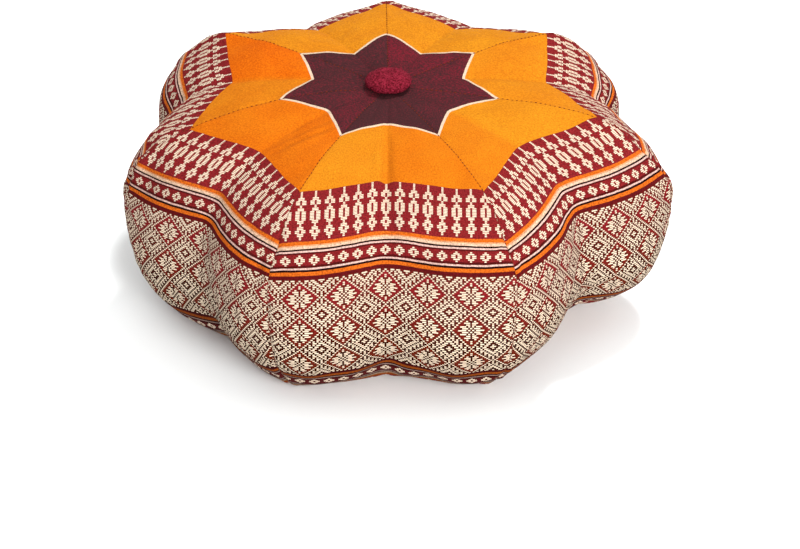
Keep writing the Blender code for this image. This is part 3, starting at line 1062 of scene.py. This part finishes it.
STITCHED_FROM, STITCHED_TO = 24.0 * MM, 316.0 * MM
STITCH_RISE = 0.1 * MM
STITCH_INPUTS = ("Pitch", "Length", "Thickness")
# Stitches differ in size by these factors, at most.
STITCH_SIZES = (0.75, 1.15)
STITCH_SEED = 4
BEAD_SIDES, BEAD_RINGS = 8, 6


def sew_stitches(cover, sizes):
    """Sets a row of short stitches in each seam, from the button to the underside's border."""
    seams = []
    normals = grid_normals(cover.points)
    first, last = np.searchsorted(cover.cloth, (STITCHED_FROM, STITCHED_TO))
    for gore in range(GORES):
        column = gore * len(cover.shares)
        line = cover.points[first:last, column] + STITCH_RISE * normals[first:last, column]
        seams.append(line + np.array(AXIS))
    count = len(seams[0])
    edges = [(gore * count + i, gore * count + i + 1) for gore in range(GORES) for i in range(count - 1)]
    lines = bpy.data.meshes.new("seam_lines")
    lines.from_pydata(np.concatenate(seams).tolist(), edges, [])
    rows = new_object("seam_lines", lines)
    modifier = rows.modifiers.new("Stitches", "NODES")
    modifier.node_group = stitch_tree(seam_thread())
    for item in modifier.node_group.interface.items_tree:
        if item.name in STITCH_INPUTS:
            modifier[item.identifier] = getattr(sizes, f"stitch_{item.name.lower()}")
    graph = bpy.context.evaluated_depsgraph_get()
    mesh = bpy.data.meshes.new_from_object(rows.evaluated_get(graph))
    bpy.data.objects.remove(rows)
    stitches = new_object("stitches", mesh)
    mesh.shade_smooth()
    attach(stitches, "root")


def stitch_tree(thread):
    """Node tree that sets a stitch at even distances along each line it is given."""
    tree = bpy.data.node_groups.new("Stitch Rows", "GeometryNodeTree")
    tree.interface.new_socket("Lines", in_out="INPUT", socket_type="NodeSocketGeometry")
    for name in STITCH_INPUTS:
        tree.interface.new_socket(name, in_out="INPUT", socket_type="NodeSocketFloat")
    tree.interface.new_socket("Stitches", in_out="OUTPUT", socket_type="NodeSocketGeometry")

    def node(kind, **inputs):
        made = tree.nodes.new(kind)
        for name, value in inputs.items():
            socket = made.inputs[name.replace("_", " ")]
            if isinstance(value, bpy.types.NodeSocket):
                tree.links.new(value, socket)
            else:
                socket.default_value = value
        return made

    given = node("NodeGroupInput").outputs
    curve = node("GeometryNodeMeshToCurve", Mesh=given["Lines"])
    places = node("GeometryNodeCurveToPoints", Curve=curve.outputs["Curve"])
    places.mode = "LENGTH"
    tree.links.new(given["Pitch"], places.inputs["Length"])
    turn = node("FunctionNodeAlignRotationToVector", Vector=places.outputs["Tangent"])
    turn.axis = "Z"
    size = node("ShaderNodeCombineXYZ", X=given["Thickness"], Y=given["Thickness"], Z=given["Length"])
    bead = node("GeometryNodeMeshUVSphere", Segments=BEAD_SIDES, Rings=BEAD_RINGS, Radius=0.5)
    bead = node("GeometryNodeTransform", Geometry=bead.outputs["Mesh"], Scale=size.outputs[0])
    spread_out = node("FunctionNodeRandomValue", Seed=STITCH_SEED)
    spread_out.data_type = "FLOAT"
    numbers = [socket for socket in spread_out.inputs if socket.type == "VALUE" and socket.enabled]
    numbers[0].default_value, numbers[1].default_value = STITCH_SIZES
    scale = next(socket for socket in spread_out.outputs if socket.type == "VALUE" and socket.enabled)
    stitches = node(
        "GeometryNodeInstanceOnPoints",
        Points=places.outputs["Points"],
        Instance=bead.outputs["Geometry"],
        Rotation=turn.outputs["Rotation"],
        Scale=scale,
    )
    whole = node("GeometryNodeRealizeInstances", Geometry=stitches.outputs["Instances"])
    coloured = node("GeometryNodeSetMaterial", Geometry=whole.outputs["Geometry"], Material=thread)
    node("NodeGroupOutput", Stitches=coloured.outputs["Geometry"])
    return tree


class CUSHION_OT_button(bpy.types.Operator):
    """Covers the button and sets it on the centre of the top"""

    bl_idname = "cushion.button"
    bl_label = "Cover the Button"

    def execute(self, context):
        profile = np.array(BUTTON_PROFILE) * MM
        outline = smooth_rows(profile, np.linspace(0.0, len(profile) - 1.0, BUTTON_ROWS))
        radius, height = outline[:, :1], outline[:, 1:]
        angle = np.linspace(0.0, math.tau, BUTTON_SIDES, endpoint=False)[None, :]
        bottom = BUTTON_HIGH.z - profile[0, 1]
        circle = np.stack([np.cos(angle), np.sin(angle), 0.0 * angle], axis=-1)
        points = radius[..., None] * circle
        points[..., 2] = height + bottom
        move = BUTTON_RUMPLE * Waves(*BUTTON_WAVES).at(points)
        move = np.where((radius < BUTTON_STILL) | (height < BUTTON_STILL), 0.0, move)
        points = points + move[..., None] * grid_normals(points)
        points[..., 2] = np.minimum(points[..., 2], BUTTON_HIGH.z)
        quads, grid, _ = grid_quads(BUTTON_ROWS, BUTTON_SIDES)
        faces = [*quads.tolist(), grid[0].tolist(), grid[-1][::-1].tolist()]
        mesh = bpy.data.meshes.new("button")
        mesh.from_pydata((points.reshape(-1, 3) + np.array(AXIS)).tolist(), [], faces)
        mesh.shade_smooth()
        mesh.materials.append(button_cloth())
        button = new_object("covered_button", mesh)
        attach(button, "root")
        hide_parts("button")
        return {"FINISHED"}


class CUSHION_OT_stage(bpy.types.Operator):
    """Lays the floor, hangs the lights and stands the camera"""

    bl_idname = "cushion.stage"
    bl_label = "Set the Stage"

    def execute(self, context):
        sizes = context.scene.stage_sizes
        lay_floor(tuple(sizes.floor_colour))
        hang_lights(context.scene)
        stand_camera(context.scene, sizes)
        return {"FINISHED"}


# The photograph's width and height, and the button's place in it, in pixels. A pixel is this wide at the
# button, which lies this high.
PIXELS_WIDE, PIXELS_HIGH = 800, 549
AXIS_COLUMN, AXIS_ROW = 388.5, 86.87
PIXEL_SIZE = 0.77 * MM
STAR_PLANE_HEIGHT = 177.0 * MM
SENSOR_WIDTH = 36.0
CLIP_END = 100.0

FLOOR_SIZE = 12.0
FLOOR_BOUNCE = 0.85
FLOOR_ROUGHNESS = 0.9
# The sky's strength at the horizon and straight up
SKY_EDGE, SKY_TOP = 0.4, 1.2
# Columns: name, place and side in metres, power in watts.
LIGHTS = (
    ("key", (0.8, 1.0, 2.8), 0.5, 82.0),
    ("front", (0.9, -2.8, 1.15), 1.3, 106.0),
)


def lay_floor(colour):
    """A pale floor, which sends less light back up than it shows to the camera."""
    bpy.ops.mesh.primitive_plane_add(size=FLOOR_SIZE)
    floor = bpy.context.object
    floor.name = "floor"
    finish = Finish("floor")
    seen = finish.node("ShaderNodeLightPath")
    dim = tuple(shade * FLOOR_BOUNCE for shade in colour)
    finish.dress(finish.mix(seen, dim, colour), FLOOR_ROUGHNESS)
    floor.data.materials.append(finish.material)


def hang_lights(scene):
    world = bpy.data.worlds.new("studio")
    scene.world = world
    world.use_nodes = True
    tree = world.node_tree
    sky = tree.nodes.new("ShaderNodeTexCoord").outputs["Generated"]
    parts = tree.nodes.new("ShaderNodeSeparateXYZ")
    tree.links.new(sky, parts.inputs[0])
    strength = tree.nodes.new("ShaderNodeMapRange")
    strength.inputs["To Min"].default_value, strength.inputs["To Max"].default_value = SKY_EDGE, SKY_TOP
    tree.links.new(parts.outputs["Z"], strength.inputs["Value"])
    background = tree.nodes["Background"]
    background.inputs["Color"].default_value = (1.0, 1.0, 1.0, 1.0)
    tree.links.new(strength.outputs[0], background.inputs["Strength"])
    for name, spot, size, power in LIGHTS:
        light = bpy.data.lights.new(name, "AREA")
        light.size = size
        light.energy = power
        lamp = new_object(name, light)
        lamp.location = spot
        lamp.rotation_euler = (-Vector(spot)).to_track_quat("-Z", "Y").to_euler()
    scene.view_settings.view_transform = "Standard"


def stand_camera(scene, sizes):
    """The camera stands far off and looks past the cushion's axis, as in the photograph's framing."""
    level = Vector((-math.sin(sizes.turn), -math.cos(sizes.turn), 0.0))
    back = level * math.cos(sizes.elevation) + Vector((0.0, 0.0, math.sin(sizes.elevation)))
    aim = AXIS + Vector((0.0, 0.0, STAR_PLANE_HEIGHT))
    right = Vector((-level.y, level.x, 0.0))
    up = back.cross(right)
    spot = aim + back * sizes.distance
    target = aim + right * (PIXELS_WIDE / 2.0 - AXIS_COLUMN) * PIXEL_SIZE
    target -= up * (PIXELS_HIGH / 2.0 - AXIS_ROW) * PIXEL_SIZE
    lens = bpy.data.cameras.new("camera")
    lens.sensor_width = SENSOR_WIDTH
    lens.lens = SENSOR_WIDTH * sizes.distance / (PIXELS_WIDE * PIXEL_SIZE)
    lens.clip_end = CLIP_END
    camera = new_object("camera", lens)
    camera.location = spot
    camera.rotation_euler = (target - spot).to_track_quat("-Z", "Y").to_euler()
    scene.camera = camera


class CUSHION_PT_panel(bpy.types.Panel):
    """The cushion's pieces and sizes"""

    bl_idname = "CUSHION_PT_panel"
    bl_label = "Meditation Cushion"
    bl_space_type = "VIEW_3D"
    bl_region_type = "UI"
    bl_category = "Cushion"

    def draw(self, context):
        for sizes in (context.scene.cushion_sizes, context.scene.stage_sizes):
            for name in sizes.__annotations__:
                self.layout.prop(sizes, name)
        for operator in OPERATORS:
            self.layout.operator(operator.bl_idname)


OPERATORS = (CUSHION_OT_cover, CUSHION_OT_button, CUSHION_OT_stage)
CLASSES = (CushionSizes, StageSizes, *OPERATORS, CUSHION_PT_panel)


def register():
    for kind in CLASSES:
        bpy.utils.register_class(kind)
    bpy.types.Scene.cushion_sizes = PointerProperty(type=CushionSizes)
    bpy.types.Scene.stage_sizes = PointerProperty(type=StageSizes)


def unregister():
    del bpy.types.Scene.stage_sizes
    del bpy.types.Scene.cushion_sizes
    for kind in reversed(CLASSES):
        bpy.utils.unregister_class(kind)


def main():
    register()
    bpy.ops.cushion.cover()
    bpy.ops.cushion.button()
    bpy.ops.cushion.stage()


if __name__ == "__main__":
    main()
